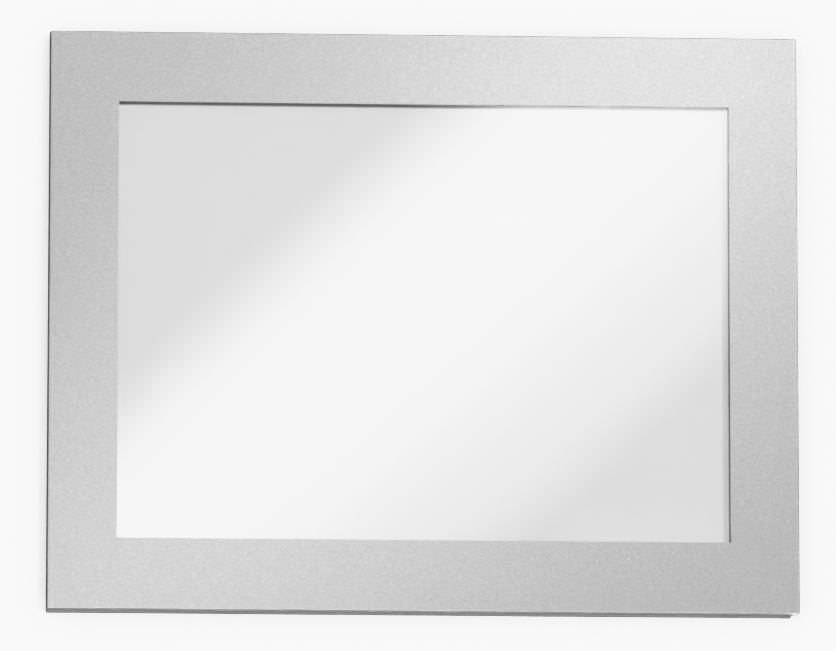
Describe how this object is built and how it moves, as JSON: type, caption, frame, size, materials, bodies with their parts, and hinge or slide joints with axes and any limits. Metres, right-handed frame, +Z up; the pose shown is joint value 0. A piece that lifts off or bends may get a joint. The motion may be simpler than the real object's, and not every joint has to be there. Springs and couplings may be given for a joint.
{
  "type": "magnetic photo frame",
  "caption": "Flat silver landscape photo frame with a clear window; the front opens like a book on a film hinge, and magnet strips keep it shut and on a steel surface.",
  "frame": {"origin": "on the rear face, behind the middle of the window", "axes": "+Z up, +X to the viewer's right along the long side, +Y into the steel surface that the frame hangs on; the silver face looks along -Y"},
  "size_m": [0.2163, 0.0056, 0.1694],
  "materials": {
    "silver_skin": "satin metallic silver with fine flake",
    "magnet_rubber": "matt dark grey ferrite rubber",
    "tape": "translucent double-sided tape",
    "clear_film": "clear glossy film",
    "print_paper": "white satin print paper, blank",
    "card": "plain grey-white board",
    "back_sheet": "fine-grained dark grey sheet",
    "hinge_sheet": "pale milky folding film"
  },
  "bodies": {
    "back": {"back_panel": "back_sheet", "rear_magnet_top": "magnet_rubber", "rear_magnet_bottom": "magnet_rubber", "rear_magnet_left": "magnet_rubber", "rear_magnet_right": "magnet_rubber", "rear_tape_top": "tape", "rear_tape_bottom": "tape", "rear_tape_left": "tape", "rear_tape_right": "tape", "hinge_tape_back": "tape", "backing_card": "card", "photo_card": "print_paper", "hinge_film": "hinge_sheet"},
    "front": {"face_frame": "silver_skin", "front_magnet_top": "magnet_rubber", "front_magnet_bottom": "magnet_rubber", "front_magnet_left": "magnet_rubber", "front_magnet_right": "magnet_rubber", "face_tape_top": "tape", "face_tape_bottom": "tape", "face_tape_left": "tape", "face_tape_right": "tape", "hinge_tape_front": "tape", "window_film": "clear_film", "film_tape_top": "tape", "film_tape_bottom": "tape", "film_tape_left": "tape", "film_tape_right": "tape"}
  },
  "joints": [
    {"name": "front_hinge", "type": "hinge", "parent": "back", "child": "front", "pos_m": [0.1083, -0.00285, 0], "axis": [0, 0, 1], "range_deg": [0, 180], "deforming": ["hinge_film"]}
  ]
}
